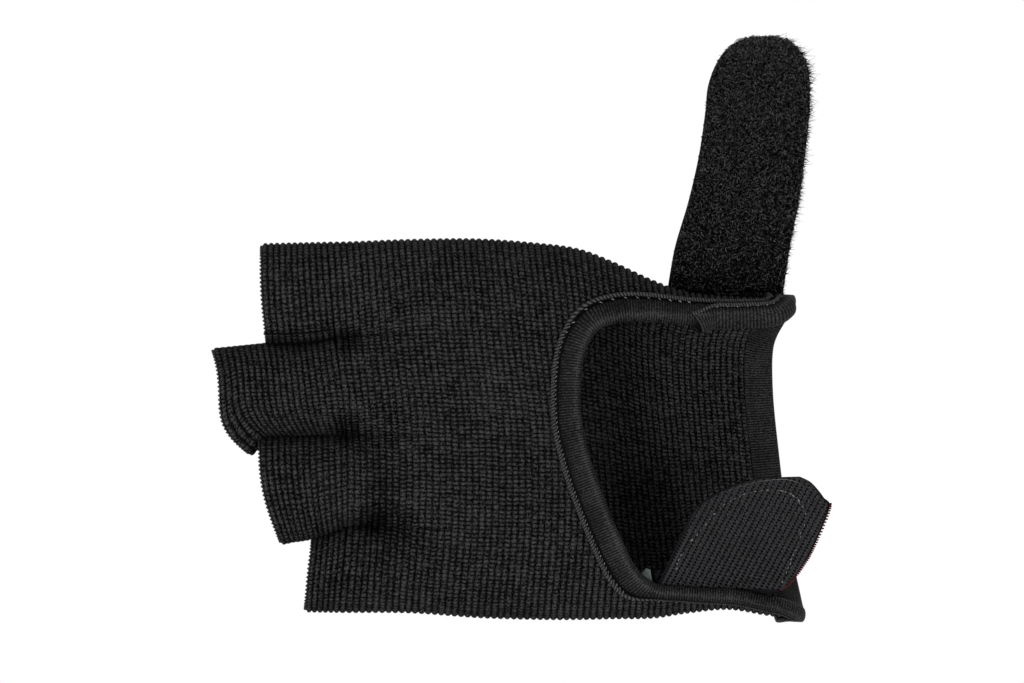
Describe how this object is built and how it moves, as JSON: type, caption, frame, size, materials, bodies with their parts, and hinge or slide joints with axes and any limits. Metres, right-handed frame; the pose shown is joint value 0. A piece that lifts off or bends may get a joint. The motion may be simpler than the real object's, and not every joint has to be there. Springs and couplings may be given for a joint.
{
  "type": "fingerless fitness glove",
  "caption": "Fingerless ribbed knit glove for a left hand, worn shape, with open finger stalls, a thumb hole, a bound wrist opening and an undone hook-and-loop closure.",
  "frame": {"origin": "in the hollow for the hand, in the middle of the palm, where the hand holds the glove", "axes": "+X from the fingers to the wrist, +Z from the little finger to the index finger, -Y out of the back of the hand"},
  "size_m": [0.1473, 0.0431, 0.141],
  "materials": {
    "knit": "black ribbed stretch knit, matt",
    "binding": "black folded elastic tape, slight sheen across its fine ribs",
    "webbing": "black woven tape, smooth",
    "loop_pile": "black napped loop pile, matt",
    "hook_tape": "charcoal hook tape, dull gloss on the hooks",
    "label": "grey woven ribbon, satin"
  },
  "bodies": {
    "root": {"knit_shell": "knit", "wrist_binding": "binding", "binding_lap": "binding", "thumb_binding": "binding", "strap_backing": "webbing", "strap_loop_pile": "loop_pile", "tab_backing": "webbing", "tab_hook_face": "hook_tape", "inner_label": "label"}
  },
  "joints": []
}
